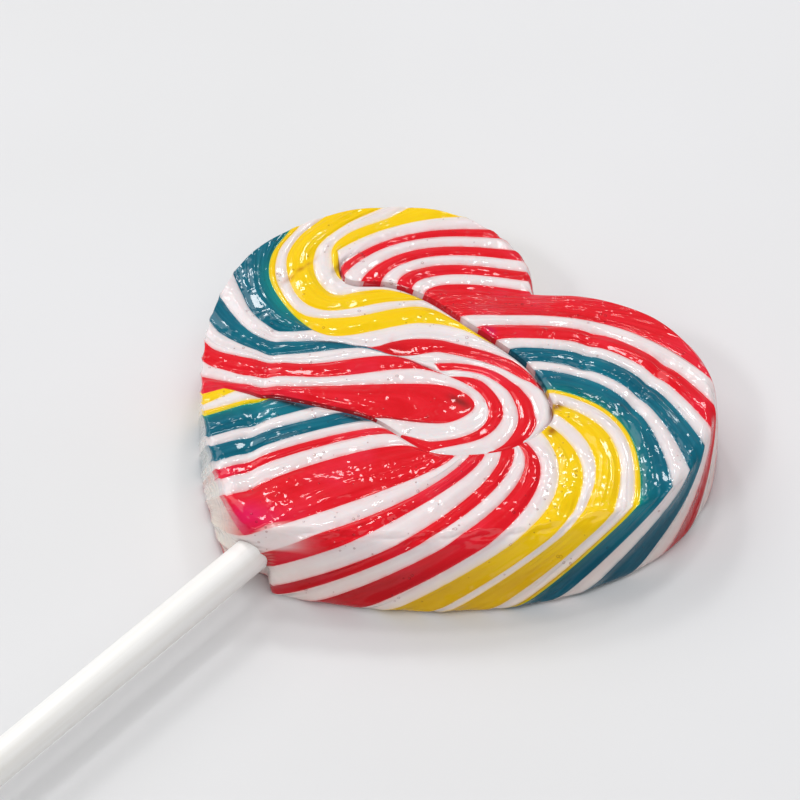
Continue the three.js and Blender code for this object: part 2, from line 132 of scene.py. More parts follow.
class Track:
    """A line of points in the plane that is read by distance along it."""

    def __init__(self, points: Array) -> None:
        """Keeps the points and the distance of each along the line.

        Args:
            points: places in the plane.
        """
        self.points = np.asarray(points, float)
        steps = norm(np.diff(self.points, axis=0), axis=1)
        self.marks = np.concatenate([[0.0], np.cumsum(steps)])
        self.length = float(self.marks[-1])

    @classmethod
    def through(cls, knots: list, per_span: int = 24) -> "Track":
        """A smooth line through knots.

        Args:
            knots: the places it passes.
            per_span: points made between one knot and the next.

        Returns:
            The line, a centripetal Catmull-Rom curve.
        """
        p = np.asarray(knots, float)
        p = np.vstack([2 * p[0] - p[1], p, 2 * p[-1] - p[-2]])
        spans = []
        for i in range(1, len(p) - 2):
            steps = np.sqrt(norm(np.diff(p[i - 1:i + 3], axis=0), axis=1))
            t0, t1, t2, t3 = np.concatenate([[0.0], np.cumsum(steps)])
            t = np.linspace(t1, t2, per_span, endpoint=False)[:, None]
            a = [lerp(p[i - 1 + k], p[i + k], (t - lo) / (hi - lo))
                 for k, (lo, hi) in enumerate(((t0, t1), (t1, t2), (t2, t3)))]
            b = [lerp(a[0], a[1], (t - t0) / (t2 - t0)), lerp(a[1], a[2], (t - t1) / (t3 - t1))]
            spans.append(lerp(b[0], b[1], (t - t1) / (t2 - t1)))
        return cls(np.vstack([*spans, p[-2:-1]]))

    def at(self, distance: Array) -> Array:
        """Points at distances along the line."""
        return np.stack([np.interp(distance, self.marks, self.points[:, k]) for k in (0, 1)], -1)

    def normal(self, distance: Array) -> Array:
        """Left-hand normals at distances along the line.

        Args:
            distance: distances along the line.

        Returns:
            One direction for each distance.
        """
        distance = np.asarray(distance)
        ahead = unit(self.at(distance + SIGHT) - self.at(distance - SIGHT))
        return np.stack([-ahead[..., 1], ahead[..., 0]], -1)

    def evenly(self, count: int) -> Array:
        """Points spread evenly from end to end."""
        return self.at(np.linspace(0.0, self.length, count + 1))

    def nearest(self, points: Array) -> tuple[Array, Array]:
        """The nearest places on the line.

        Args:
            points: places in the plane, in an array of any shape ending in 2.

        Returns:
            The distance along the line and the distance away from it, for each point.
        """
        shape = points.shape[:-1]
        flat = points.reshape(-1, 2)
        start, span = self.points[:-1], np.diff(self.points, axis=0)
        size = np.maximum((span ** 2).sum(1), 1e-12)
        along, away = np.empty(len(flat)), np.empty(len(flat))
        for low in range(0, len(flat), CHUNK):
            part = slice(low, low + CHUNK)
            reach = flat[part, None] - start
            share = np.clip((reach * span).sum(-1) / size, 0.0, 1.0)
            gap = norm(reach - share[..., None] * span, axis=-1)
            best = gap.argmin(1)
            row = np.arange(len(best))
            away[part] = gap[row, best]
            along[part] = lerp(self.marks[best], self.marks[best + 1], share[row, best])
        return along.reshape(shape), away.reshape(shape)


# ---- The heart's form ----


class Side(Enum):
    """Which side of the seam a point is on."""

    FAN = 1
    COIL = 2


@dataclass(frozen=True)
class HalfOutline:
    """One half of the heart's outline, from the cleft over the lobe to the tip."""

    side: int
    cleft_angle: float
    cleft_handle: float
    top: tuple
    top_handles: tuple
    wide: tuple
    wide_handles: tuple
    tip_handle: float
    arc_points: int = 300

    def points(self, cleft_y: float, tip_y: float, count: int) -> Array:
        """Evenly spaced points of the half, from the cleft to the tip.

        Args:
            cleft_y: height of the cleft.
            tip_y: height of the tip.
            count: number of steps.

        Returns:
            The points, mirrored for the left half.
        """
        (tx, ty), (wx, wy) = self.top, self.wide
        angle, handle = self.cleft_angle, self.cleft_handle
        leave = (handle * math.sin(angle), cleft_y + handle * math.cos(angle))
        arcs = (
            [(0, cleft_y), leave, (tx - self.top_handles[0], ty), (tx, ty)],
            [(tx, ty), (tx + self.top_handles[1], ty), (wx, wy + self.wide_handles[0]), (wx, wy)],
            [(wx, wy), (wx, wy - self.wide_handles[1]), (self.tip_handle, tip_y), (0, tip_y)],
        )
        dense = np.vstack([bezier(arc, self.arc_points)[:-1] for arc in arcs] + [[(0, tip_y)]])
        return Track(dense).evenly(count) * (self.side, 1)


@dataclass
class HeartForm:
    """The heart's rim, wall and top surface, with the seam that winds through its middle."""

    thickness: float = 14.0
    dome: float = 0.5
    dome_reach: float = 14.0
    cleft_y: float = 33.0
    tip_y: float = -41.3
    right: HalfOutline = HalfOutline(1, 0.6, 8.7, (20.3, 42.6), (3.7, 21.3), (47.2, 12.6), (7.4, 34.0), 5.6)
    left: HalfOutline = HalfOutline(-1, 0.5, 8.0, (18.2, 41.4), (6.0, 9.5), (45.5, 8.4), (21.3, 20.8), 11.9)
    ridge_inset: tuple = (
        (0.0, 2.2), (0.12, 2.2), (0.24, 1.4), (0.306, 4.2), (0.388, 5.2), (0.471, 3.6),
        (0.516, 1.2), (0.56, 1.8), (0.6, 1.3), (0.68, 1.3), (0.742, 2.0), (0.903, 2.4), (1.0, 2.2),
    )
    wall_smoothing: float = 6.0
    notch: float = 3.4
    notch_at: float = -0.5
    notch_reach: float = 3.0
    notch_down: tuple = (6.0, 13.0)
    section_inset: float = 4.0
    shoulder: tuple = ((4.0, 14.0), (2.88, 13.9), (2.48, 12.1))
    under: tuple = ((0.12, 2.6), (-0.12, 0.2), (1.68, 0.0))
    seam_knots: tuple = (
        (-32.4, 17.1), (-27, 12.5), (-25, 12.5), (-19.5, 16.5), (-13, 18), (-4, 17.9), (10, 17),
        (16.5, 14.5), (21.5, 10), (21, 1), (16.5, -5.2), (11, -9), (-1, -9.5), (-9.4, -12.8), (-28.2, -22.2),
    )
    seam_end: float = 121.0
    groove_width: float = 0.5
    groove_depth: float = 0.9
    groove_fade: float = 4.0
    groove_open: tuple = (
        (0, 0.4), (4, 0.9), (9, 0.5), (17, 0.6), (27, 0.5), (40, 0.8), (48, 1), (57, 1), (61, 0.4),
        (66, 0.12), (84, 0.12), (90, 0.35), (95, 0.9), (100, 1), (106, 1), (113, 1), (116, 0.5), (121, 0.2),
    )
    seam_step: tuple = (
        (0, 0, 0), (8, 0.5, -0.2), (45, 0.5, -0.25), (58, 0.2, 0), (65, 0, 0), (84, 0, 0.05),
        (97, -0.12, 0.28), (112, -0.12, 0.3), (121, 0, 0),
    )
    step_reach: float = 7.0
    foot_fade: float = 3.0
    rim_fade: float = 3.0
    half_points: int = 450
    drop_points: int = 60
    section_steps: int = 120
    seam_steps: int = 250
    ridge_points: int = 241
    fold_points: int = 8
    lip: float = 0.3
    lip_reach: float = 1.2
    folds: tuple = (
        (((-26.6, -5.2), (-23.9, -9.3), (-19.3, -16.3), (-12.9, -26), (-5.6, -34.5)), 0.6, 1.6),
        (((-34.4, 5.3), (-34.9, 13.9)), 0.4, 1.0),
        (((14.2, 29.8), (17.6, 22.9)), 0.45, 1.5),
        (((27.3, 32.8), (27.9, 29.8), (28.6, 25.7), (30.5, 19.6)), 0.5, 1.6),
        (((37, -2.9), (44.2, 4.8), (46, 9.9)), 0.5, 1.6),
    )

    def __post_init__(self) -> None:
        """Makes the lines that everything else is measured from."""
        halves = [half.points(self.cleft_y, self.tip_y, self.half_points) for half in (self.right, self.left)]
        self.outline = Track(np.vstack([halves[0], halves[1][::-1][1:]]))
        self.rim = self.outline.length
        self.tip = Track(halves[0]).length
        drop = np.vstack([bezier(part, self.drop_points) for part in (self.shoulder, self.under)])
        self.section = Track(Track(drop).evenly(self.section_steps))
        self.seam = Track(Track.through(self.seam_knots).evenly(self.seam_steps))
        places = np.linspace(0.0, self.rim, self.ridge_points)
        self.ridge_line = Track(self.wall(places, 0.0, 0.0)[:, :2])
        self.fold_tracks = [Track.through(points, self.fold_points) for points, _, _ in self.folds]

    def rim_point(self, place: Array) -> Array:
        """Points of the outline at distances clockwise from the cleft."""
        return self.outline.at(np.mod(place, self.rim))

    def inward(self, place: Array) -> Array:
        """Inward directions of the wall, averaged along the rim.

        Args:
            place: distances clockwise from the cleft.

        Returns:
            One direction in the plane for each place.
        """
        place = np.asarray(place, float)
        offsets = np.arange(-self.wall_smoothing, self.wall_smoothing + SIGHT / 2, SIGHT)
        spots = place[..., None] + offsets
        ahead = unit(self.rim_point(spots + SIGHT) - self.rim_point(spots - SIGHT))
        weight = np.cos(offsets / self.wall_smoothing * math.pi / 2) ** 2
        mean = (ahead * weight[:, None]).sum(-2)
        return unit(np.stack([mean[..., 1], -mean[..., 0]], -1))

    def wall(self, place: Array, down: Array, swell: Array) -> Array:
        """Points of the wall.

        Args:
            place: distance clockwise from the cleft.
            down: distance down the wall's section from the ridge.
            swell: how far the point stands out of the wall.

        Returns:
            Points in space.
        """
        place, down, swell = np.broadcast_arrays(place, down, swell)
        turn = np.mod(place, self.rim)
        inset = stations(self.ridge_inset, turn / self.rim) / self.section_inset
        spot, out = self.section.at(down), self.section.normal(down)
        fade = smooth(self.section.length - down, 0.0, self.foot_fade)
        notch = self.notch * np.exp(-((turn - self.tip - self.notch_at) / self.notch_reach) ** 4)
        distance = spot[..., 0] * inset + out[..., 0] * swell * fade + notch * smooth(down, *self.notch_down)
        edge = self.rim_point(place) + self.inward(place) * distance[..., None]
        return np.concatenate([edge, (spot[..., 1] + out[..., 1] * swell * fade)[..., None]], -1)

    def groove_share(self, along: Array) -> Array:
        """How open the seam's groove is, from 0 at its ends to 1."""
        return smooth(along, 0.0, self.groove_fade) * smooth(self.seam_end - along, 0.0, self.groove_fade)

    def seam_edge(self, along: Array, side: Side) -> Array:
        """Points of the seam's edge on one side of its groove."""
        half = self.groove_width / 2 * self.groove_share(along) * (1 if side is Side.FAN else -1)
        return self.seam.at(along) + self.seam.normal(along) * half[..., None]

    def top(self, points: Array, side: Side, crown: Array) -> Array:
        """Lifts points of the plane to the candy's top.

        Args:
            points: places in the plane.
            side: the side of the seam they are on.
            crown: the strand's own height there.

        Returns:
            Points in space.
        """
        along, away = self.seam.nearest(points)
        rim = self.ridge_line.nearest(points)[1]
        inside = smooth(rim, 0.0, self.rim_fade)
        height = self.thickness + self.dome * smooth(rim, 0.0, self.dome_reach) + crown
        step = stations(self.seam_step, along, side.value)
        height += step * (1 - smooth(away, 0, self.step_reach)) * inside
        lip = self.lip * self.groove_share(along) * stations(self.groove_open, along)
        height -= lip * (1 - smooth(away, 0, self.lip_reach))
        for track, (_, depth, reach) in zip(self.fold_tracks, self.folds):
            height -= depth * np.exp(-(track.nearest(points)[1] / reach) ** 2) * inside
        return np.concatenate([points, height[..., None]], -1)


# ---- Strands ----


class Sugar(Enum):
    """The sugars that the strands are pulled from, with their material index."""

    RED = 0
    WHITE = 1
    TEAL = 2
    YELLOW = 3


@dataclass
class Strand:
    """One strand of the skin: a grid of points, its sugar and the sugars beside it, row by row."""

    sugar: Sugar
    points: Array
    from_seam: bool
    beside: Array

    def lines(self) -> tuple[Array, Array, Array]:
        """Coordinates that follow the strand.

        Returns:
            The share of the way across, the width and the distance along, for every point.
        """
        rows, columns = self.points.shape[:2]
        width = norm(np.diff(self.points, axis=1), axis=2).sum(1)
        middle = self.points[:, columns // 2]
        along = np.concatenate([[0.0], np.cumsum(norm(np.diff(middle, axis=0), axis=1))])
        across = np.broadcast_to(np.linspace(0.0, 1.0, columns), (rows, columns))
        return across, *(np.broadcast_to(part[:, None], across.shape) for part in (width, along))


@dataclass
class Crown:
    """The rounded back of a strand."""

    height: float = 0.42
    full_width: float = 2.6

    def at(self, share: Array, width: Array) -> Array:
        """Height at a share of the way across a strand of some width."""
        return self.height * 4 * share * (1 - share) * (1 - np.exp(-np.asarray(width) / self.full_width))


R, W, T, Y = Sugar.RED, Sugar.WHITE, Sugar.TEAL, Sugar.YELLOW

# Stretches of two cuts of one ribbon that run together.
HOOK_CUT = (
    (500, 90), (510, 55), (530, 10), (560, 5), (640, 16), (700, 24), (750, 41), (810, 50), (860, 50),
    (1000, 40),
)
TAIL_CUT = ((0, 5), (50, 14), (200, 14), (400, 14), (450, 2), (470, 0))

# What lies between an edge of the coil and the next one: sugars, and between two sugars where they meet,
# as thousandths of the way along and hundredths of the way across.
CUT_UNITS = (1000, 100)
RIBBONS = (
    (Y,),
    (W,),
    (Y,),
    (W,),
    (Y,),
    (
        T, ((0, 72), (240, 72), (300, 60), (340, 36), (375, 0), (1000, 0)),
        W,
    ),
    (
        W, ((0, 0), (60, 10), (150, 20), (200, 20), (250, 4), (350, 5), (420, 45), (470, 90), *HOOK_CUT),
        T, ((0, 100), (440, 100), (470, 92), *HOOK_CUT),
        R,
    ),
    (
        T, (*TAIL_CUT, (1000, 0)),
        R, (*TAIL_CUT, (510, 0), (570, 13), (620, 21), (680, 26), (709, 23), (728, 15), (740, 6), (748, 0),
            (1000, 0)),
        W, ((0, 70), (550, 70), (560, 62), (595, 51), (655, 48), (710, 47), (733, 44), (757, 38), (784, 35),
            (800, 22), (820, 8), (835, 0), (1000, 0)),
        R, ((0, 70), (550, 70), (560, 80), (570, 92), (585, 87), (600, 80), (660, 77), (720, 72), (784, 69),
            (816, 55), (848, 35), (878, 10), (890, 0), (1000, 0)),
        W,
    ),
    (
        W, ((0, 0), (565, 0), (585, 50), (600, 90), (612, 90), (630, 30), (660, 4), (700, 0), (1000, 0)),
        R, ((0, 100), (700, 100), (730, 97), (760, 85), (800, 69), (840, 56), (890, 50), (950, 69),
            (1000, 80)),
        W,
    ),
    (
        R, ((0, 0), (60, 10), (115, 30), (200, 12), (290, 3), (390, 12), (500, 8), (570, 0), (1000, 0)),
        W,
    ),
    (R,),
)


@dataclass
class Fan:
    """The strands outside the seam, which fan out to the rim."""

    form: HeartForm
    crown: Crown
    start_ridge: float = 257.3
    wrap_ridge: float = 216.0
    rows: int = 66
    wall_rows: int = 26
    crown_rows: int = 8
    crowding: float = 0.4
    strands: tuple = (
        (W, 4.4, 6.7), (R, 2.6, 3.5), (W, 3.8, 4.2), (R, 3.5, 3.3), (W, 2.7, 3.4), (R, 2.8, 2.1),
        (W, 2.5, 1.8), (R, 8.2, 41.4), (W, 3.7, 6.8), (R, 4.5, 5.5), (W, 3.1, 4.5), (T, 4.0, 6.4),
        (W, 2.3, 5.0), (T, 4.8, 7.0), (Y, 0.8, 1.3), (W, 2.6, 3.6), (Y, 2.1, 6.9), (W, 2.8, 2.2),
        (Y, 1.9, 6.5), (W, 3.5, 4.5), (R, 1.3, 7.2), (W, 1.0, 4.8), (R, 2.3, 3.6), (W, 2.7, 7.8),
        (R, 2.5, 7.4), (W, 2.4, 9.0), (R, 6.6, 11.6), (W, 4.0, 4.0), (R, 2.3, 2.2), (W, 3.3, 2.0),
        (T, 5.2, 3.6), (W, 4.6, 2.2), (T, 8.3, 4.9), (Y, 1.3, 1.2), (W, 4.6, 1.5), (Y, 2.0, 2.5),
    )
    bend: tuple = (
        (-26, -0.17, 0, 18), (-19, -0.27, -0.08, 18), (-12, -0.36, -0.18, 18), (-1, -0.28, -0.38, 18),
        (4, -0.04, -0.11, 18), (12, -0.07, -0.05, 18), (24, -0.12, 0.03, 18), (33, -0.2, -0.03, 18),
        (41, -0.31, 0.04, 18), (50, -0.36, -0.06, 19), (64, -0.4, -0.12, 27), (80, -0.47, -0.12, 26),
        (96, -0.36, -0.04, 27), (104, -0.37, -0.3, 27), (114, -0.2, -0.24, 29), (124, -0.12, -0.32, 30),
        (132, -0.14, -0.15, 27), (141, -0.08, -0.38, 21), (152, 0.12, -0.36, 13.5), (159, 0.08, -0.4, 10.5),
        (164, 0, -0.1, 11.5), (177, 0, 0, 14),
    )

    def way(self) -> Array:
        """Shares of the way from the seam to the ridge, closer together near the seam."""
        share = np.linspace(0.0, 1.0, self.rows + 1)
        return share * (1 - self.crowding + self.crowding * share)

    def place(self, ridge: Array) -> Array:
        """Rim places counted from the cleft, negative on the left lobe."""
        place = np.mod(ridge, self.form.rim)
        return np.where(place > self.wrap_ridge, place - self.form.rim, place)

    def plan(self, along: Array, ridge: Array) -> Array:
        """Lines of the fan in the plane, from the seam to the ridge.

        Args:
            along: where each line starts on the seam.
            ridge: where it ends on the ridge.

        Returns:
            Points by row and line.
        """
        bow, skew = (stations(self.bend, self.place(ridge), column)[:, None] for column in (1, 2))
        start = self.form.seam_edge(along, Side.FAN)
        end = self.form.wall(ridge, 0.0, 0.0)[:, :2]
        chord = end - start
        pull = start + chord * (0.5 + skew) + np.stack([chord[:, 1], -chord[:, 0]], -1) * bow
        way = self.way()[:, None, None]
        return lerp(lerp(start, pull, way), lerp(pull, end, way), way)

    def wall(self, ridge: Array, sweep: Array, swell: Array) -> Array:
        """Lines of the wall, from the ridge to the foot, by row and line."""
        way = np.linspace(0.0, 1.0, self.wall_rows + 1)[:, None]
        return self.form.wall(ridge + sweep * way, self.form.section.length * way, swell)

    def build(self) -> list[Strand]:
        """Makes the fan's strands, clockwise from the seam's open end.

        Returns:
            The strands, with their points from the seam to the foot.
        """
        total = sum(strand[1] for strand in self.strands)
        made, along, ridge = [], 0.0, self.start_ridge
        way = self.way()[:, None]
        for index, (sugar, seam_width, ridge_width) in enumerate(self.strands):
            share = column_shares(ridge_width)
            starts = (along + share * seam_width) / total * self.form.seam_end
            ends = ridge + share * ridge_width
            crown = self.crown.at(share, lerp(seam_width, ridge_width, way))
            crown = crown * smooth(way * self.rows, 0, self.crown_rows)
            top = self.form.top(self.plan(starts, ends), Side.FAN, crown)
            sweep = stations(self.bend, self.place(ends), 3)
            wall = self.wall(ends, sweep, self.crown.at(share, ridge_width))
            before, after = (self.strands[k % len(self.strands)][0] for k in (index - 1, index + 1))
            points = np.vstack([top[:-1], wall])
            beside = np.full((len(points), 2), (before.value, after.value))
            made.append(Strand(sugar, points, True, beside))
            along += seam_width
            ridge += ridge_width
        return made


@dataclass
class Coil:
    """The strands inside the seam, which come in from the left rim and wind round the hooks."""

    form: HeartForm
    crown: Crown
    fan: Fan
    seam_step: float = 0.7
    back_step: float = 0.25
    settle: float = 0.2
    pinched: float = 0.12
    least_share: float = 0.25
    passes: int = 100
    last: tuple = (176.5, 94.8)
    sweep: tuple = ((176, 14), (184, 18), (258, 18))
    edges: tuple = (
        (257.3, 0.0, ()),
        (246.7, 8.1, ((-31.5, 29.5), (-34, 22), (-33.5, 17), (-28.5, 12.5))),
        (241.7, 20.6, ((-36, 23), (-35.5, 15), (-30.5, 9.5), (-25.2, 8.4), (-22.6, 12), (-20, 15),
                       (-17.5, 16.4))),
        (230.4, 22.6, ((-40, 15.5), (-37.5, 9.5), (-29, 3.7), (-23.8, 4.5), (-17, 13.5))),
        (225.2, 30.8, ((-40.2, 10.5), (-35, 4.4), (-26, 1.2), (-20, 5.5), (-12, 16.2))),
        (223.0, 38.4, ((-40.4, 8.8), (-35.7, 3.6), (-25.2, -0.3), (-19, 0.5), (-9.5, 13), (-4, 16.3))),
        (200.7, 43.0, ((-29.5, -7), (-24, -5.5), (-17, 1), (-12.5, 3), (-7.5, 10.5), (1, 15.8))),
        (194.5, 49.9, ((-34.5, -10.5), (-24, -9), (-13.5, 2), (-7, 4.5), (-1.5, 11), (8, 15.4))),
        (189.0, 82.8, ((-31.5, -14.5), (-18.5, -8), (-7.5, 4), (0.5, 6), (7, 9), (14.5, 6), (16, 0))),
        (184.4, 88.9, ((-29, -17.5), (-15, -9), (-2.5, 4.5), (9.5, 6.5), (13, 2), (9, -6.5))),
        (180.6, 94.8, ((-19, -15.5), (4.5, 4.7), (10, 4), (9.5, -1.5))),
    )
    ribbons: tuple = RIBBONS

    def tracks(self) -> list[Track]:
        """The edges in the plane, each from the ridge to its end on the seam.

        Returns:
            One more line than there are edges: the last runs back along the seam.
        """
        made = []
        for ridge, along, through in self.edges:
            start = self.form.wall(np.array(ridge), 0.0, 0.0)[:2]
            end = self.form.seam_edge(np.array(along), Side.COIL)
            made.append(Track.through([start, *through, end]))
        ridge, along = self.last
        start = self.form.wall(np.array(ridge), 0.0, 0.0)[:2]
        back = self.form.seam_edge(np.arange(self.form.seam_end, along, -self.back_step), Side.COIL)
        end = self.form.seam_edge(np.array(along), Side.COIL)
        made.append(Track(np.vstack([start, back, end])))
        return made

    def facing(self, rows: Array, track: Track) -> Array:
        """Places on a track that face the points of the line beside it, in order and evenly spread.

        Args:
            rows: the points that are faced.
            track: the line they face.

        Returns:
            Distances along the track, one for each point.
        """
        index = np.arange(len(rows))
        least = index * self.least_share * track.length / index[-1]
        places = track.nearest(rows)[0]
        for _ in range(self.passes):
            places[0], places[-1] = 0.0, track.length
            places = np.maximum.accumulate(places - least) + least
            places = np.minimum(places, track.length - (least[-1] - least))
            places[1:-1] = (places[:-2] + 2 * places[1:-1] + places[2:]) / 4
        places[0], places[-1] = 0.0, track.length
        return places

    def build(self) -> tuple[list[Strand], Array, int]:
        """Makes the coil's strands from the outside in.

        Returns:
            The strands, the coil's edge of the seam, and the row at which the last line meets the seam.
        """
        tracks = self.tracks()
        places = [edge[:2] for edge in self.edges] + [self.last]
        first = self.fan.plan(np.array([0.0]), np.array([self.fan.start_ridge]))[::-1, 0]
        rows, made, seam = first, [], [first[-1:]]
        for index, ribbon in enumerate(self.ribbons):
            (ridge, along), (next_ridge, next_along) = places[index], places[index + 1]
            count = math.ceil((next_along - along) / self.seam_step)
            if count > 0:
                spots = np.linspace(along, next_along, count + 1)[1:]
                extra = self.form.seam_edge(spots, Side.COIL)
                seam.append(extra)
                rows = np.vstack([rows, extra])
            track = tracks[index + 1]
            faced = self.facing(rows, track)
            if index == len(self.ribbons) - 1:
                faced[np.abs(faced - track.marks[1]).argmin()] = track.marks[1]
            inner = track.at(faced)
            made += self.ribbon(ribbon, rows, inner, (ridge, next_ridge), faced / track.length)
            rows = inner
        corner = int(np.abs(faced - track.marks[1]).argmin())
        seam.append(inner[corner:-1][::-1])
        for index, strand in enumerate(made):
            for side, others in enumerate((made[:index][::-1], made[index + 1:])):
                strand.beside[:, side] = self.nearest_sugar(strand, others)
        return made, np.vstack(seam), corner

    def nearest_sugar(self, strand: Strand, others: list[Strand]) -> Array:
        """The sugar beside a strand on one side, past strands that are pinched shut.

        Args:
            strand: the strand.
            others: the strands on that side, from the nearest on.

        Returns:
            A sugar's number for each row; the strand's own where nothing lies beside it.
        """
        found = np.full(len(strand.points), -1)
        for other in others:
            width = norm(other.points[:, -1] - other.points[:, 0], axis=1)[:len(found)]
            rows = np.arange(len(width))[(width > self.pinched) & (found[:len(width)] < 0)]
            found[rows] = other.sugar.value
        return np.where(found < 0, strand.sugar.value, found)

    def ribbon(self, ribbon: tuple, outer: Array, inner: Array, ridges: tuple, way: Array) -> list[Strand]:
        """Makes the strands between two neighbouring edges.

        Args:
            ribbon: sugars and where they meet.
            outer: points of the outer edge, from the ridge.
            inner: points of the inner edge that face them.
            ridges: rim places of both edges on the ridge.
            way: share of the way along, for each row.

        Returns:
            One strand for each sugar.
        """
        meets = (np.clip(stations(np.array(meet) / CUT_UNITS, way), 0, 1) for meet in ribbon[1::2])
        cuts = np.maximum.accumulate([np.zeros(len(way)), *meets, np.ones(len(way))])
        widest = norm(outer - inner, axis=1).max()
        made = []
        for part, sugar in enumerate(ribbon[0::2]):
            inside = column_shares(widest * (cuts[part + 1] - cuts[part]).max())
            share = lerp(cuts[part][:, None], cuts[part + 1][:, None], inside)
            ends = lerp(*ridges, share[0])
            width = norm(outer - inner, axis=1)[:, None] * (share[:, -1:] - share[:, :1])
            swell = self.crown.at(inside, width[0])
            wall = self.fan.wall(ends, stations(self.sweep, ends), swell)
            plan = lerp(outer[:, None], inner[:, None], share[..., None])
            shift = wall[0, :, :2] - plan[0]
            plan += shift * (1 - smooth(way, 0.0, self.settle))[:, None, None]
            top = self.form.top(plan, Side.COIL, self.crown.at(inside, width))
            points = np.vstack([wall[::-1], top[1:]])
            made.append(Strand(sugar, points, False, np.zeros((len(points), 2), int)))
        return made


# ---- Finishes ----


def linear(red: int, green: int, blue: int, alpha: float = 1.0) -> tuple:
    """A colour for a shader from its values on a screen, 0 to 255."""
    parts = (value / 255 for value in (red, green, blue))
    return (*(p / 12.92 if p <= 0.04045 else ((p + 0.055) / 1.055) ** 2.4 for p in parts), alpha)


def linears(*screen: tuple) -> list:
    """Colours for a shader from several colours on a screen."""
    return [linear(*colour) for colour in screen]


class Nodes:
    """Adds and links the nodes of one material."""

    def __init__(self, name: str) -> None:
        """Starts an empty material with its output.

        Args:
            name: the material's name.
        """
        self.material = bpy.data.materials.new(name)
        self.material.use_nodes = True
        self.tree = self.material.node_tree
        self.tree.nodes.clear()

    def add(self, kind: str, inputs: dict | None = None, **settings: object) -> bpy.types.Node:
        """Adds a node.

        Args:
            kind: the node's type.
            inputs: values or sockets for its inputs, by name or number.
            **settings: the node's own settings.

        Returns:
            The node.
        """
        node = self.tree.nodes.new(kind)
        for key, value in settings.items():
            setattr(node, key, value)
        for key, value in (inputs or {}).items():
            if isinstance(value, Socket):
                self.tree.links.new(value, node.inputs[key])
            else:
                node.inputs[key].default_value = value
        return node

    def mix(self, share: object, first: object, second: object, blend: str = "MIX") -> Socket:
        """Mixes two colours and gives the result's socket."""
        node = self.add("ShaderNodeMix", {0: share, 6: first, 7: second}, data_type="RGBA", blend_type=blend)
        return node.outputs[2]

    def math(self, kind: str, *values: object) -> Socket:
        """Works out a number from one to three values and gives its socket."""
        return self.add("ShaderNodeMath", dict(enumerate(values)), operation=kind).outputs[0]

    def noise(self, vector: object, scale: float, detail: float = 3.0, rough: float = 0.55) -> Socket:
        """A noise from 0 to 1 on some coordinates."""
        values = {"Vector": vector, "Scale": scale, "Detail": detail, "Roughness": rough}
        return self.add("ShaderNodeTexNoise", values).outputs["Fac"]

    def ramp(self, value: object, low: float, high: float, *to: float) -> Socket:
        """Brings a value from one range to another, by default 0 to 1, held at its ends."""
        values = dict(enumerate((value, low, high, *(to or (0.0, 1.0)))))
        return self.add("ShaderNodeMapRange", values, interpolation_type="SMOOTHSTEP").outputs[0]

    def stretch(self, vector: object, *scale: float) -> Socket:
        """Stretches coordinates along their axes."""
        return self.add("ShaderNodeMapping", {"Vector": vector, "Scale": scale}).outputs[0]

    def bump(self, height: Socket, distance: float, strength: float = 1.0) -> Socket:
        """Turns a height into a normal."""
        inputs = {"Strength": strength, "Distance": distance, "Height": height}
        return self.add("ShaderNodeBump", inputs).outputs[0]

    def surface(self, inputs: dict) -> bpy.types.Material:
        """Gives the material its shader and hands it over.

        Args:
            inputs: values or sockets for the shader's inputs.

        Returns:
            The finished material.
        """
        shader = self.add("ShaderNodeBsdfPrincipled", inputs)
        self.add("ShaderNodeOutputMaterial", {"Surface": shader.outputs[0]})
        return self.material


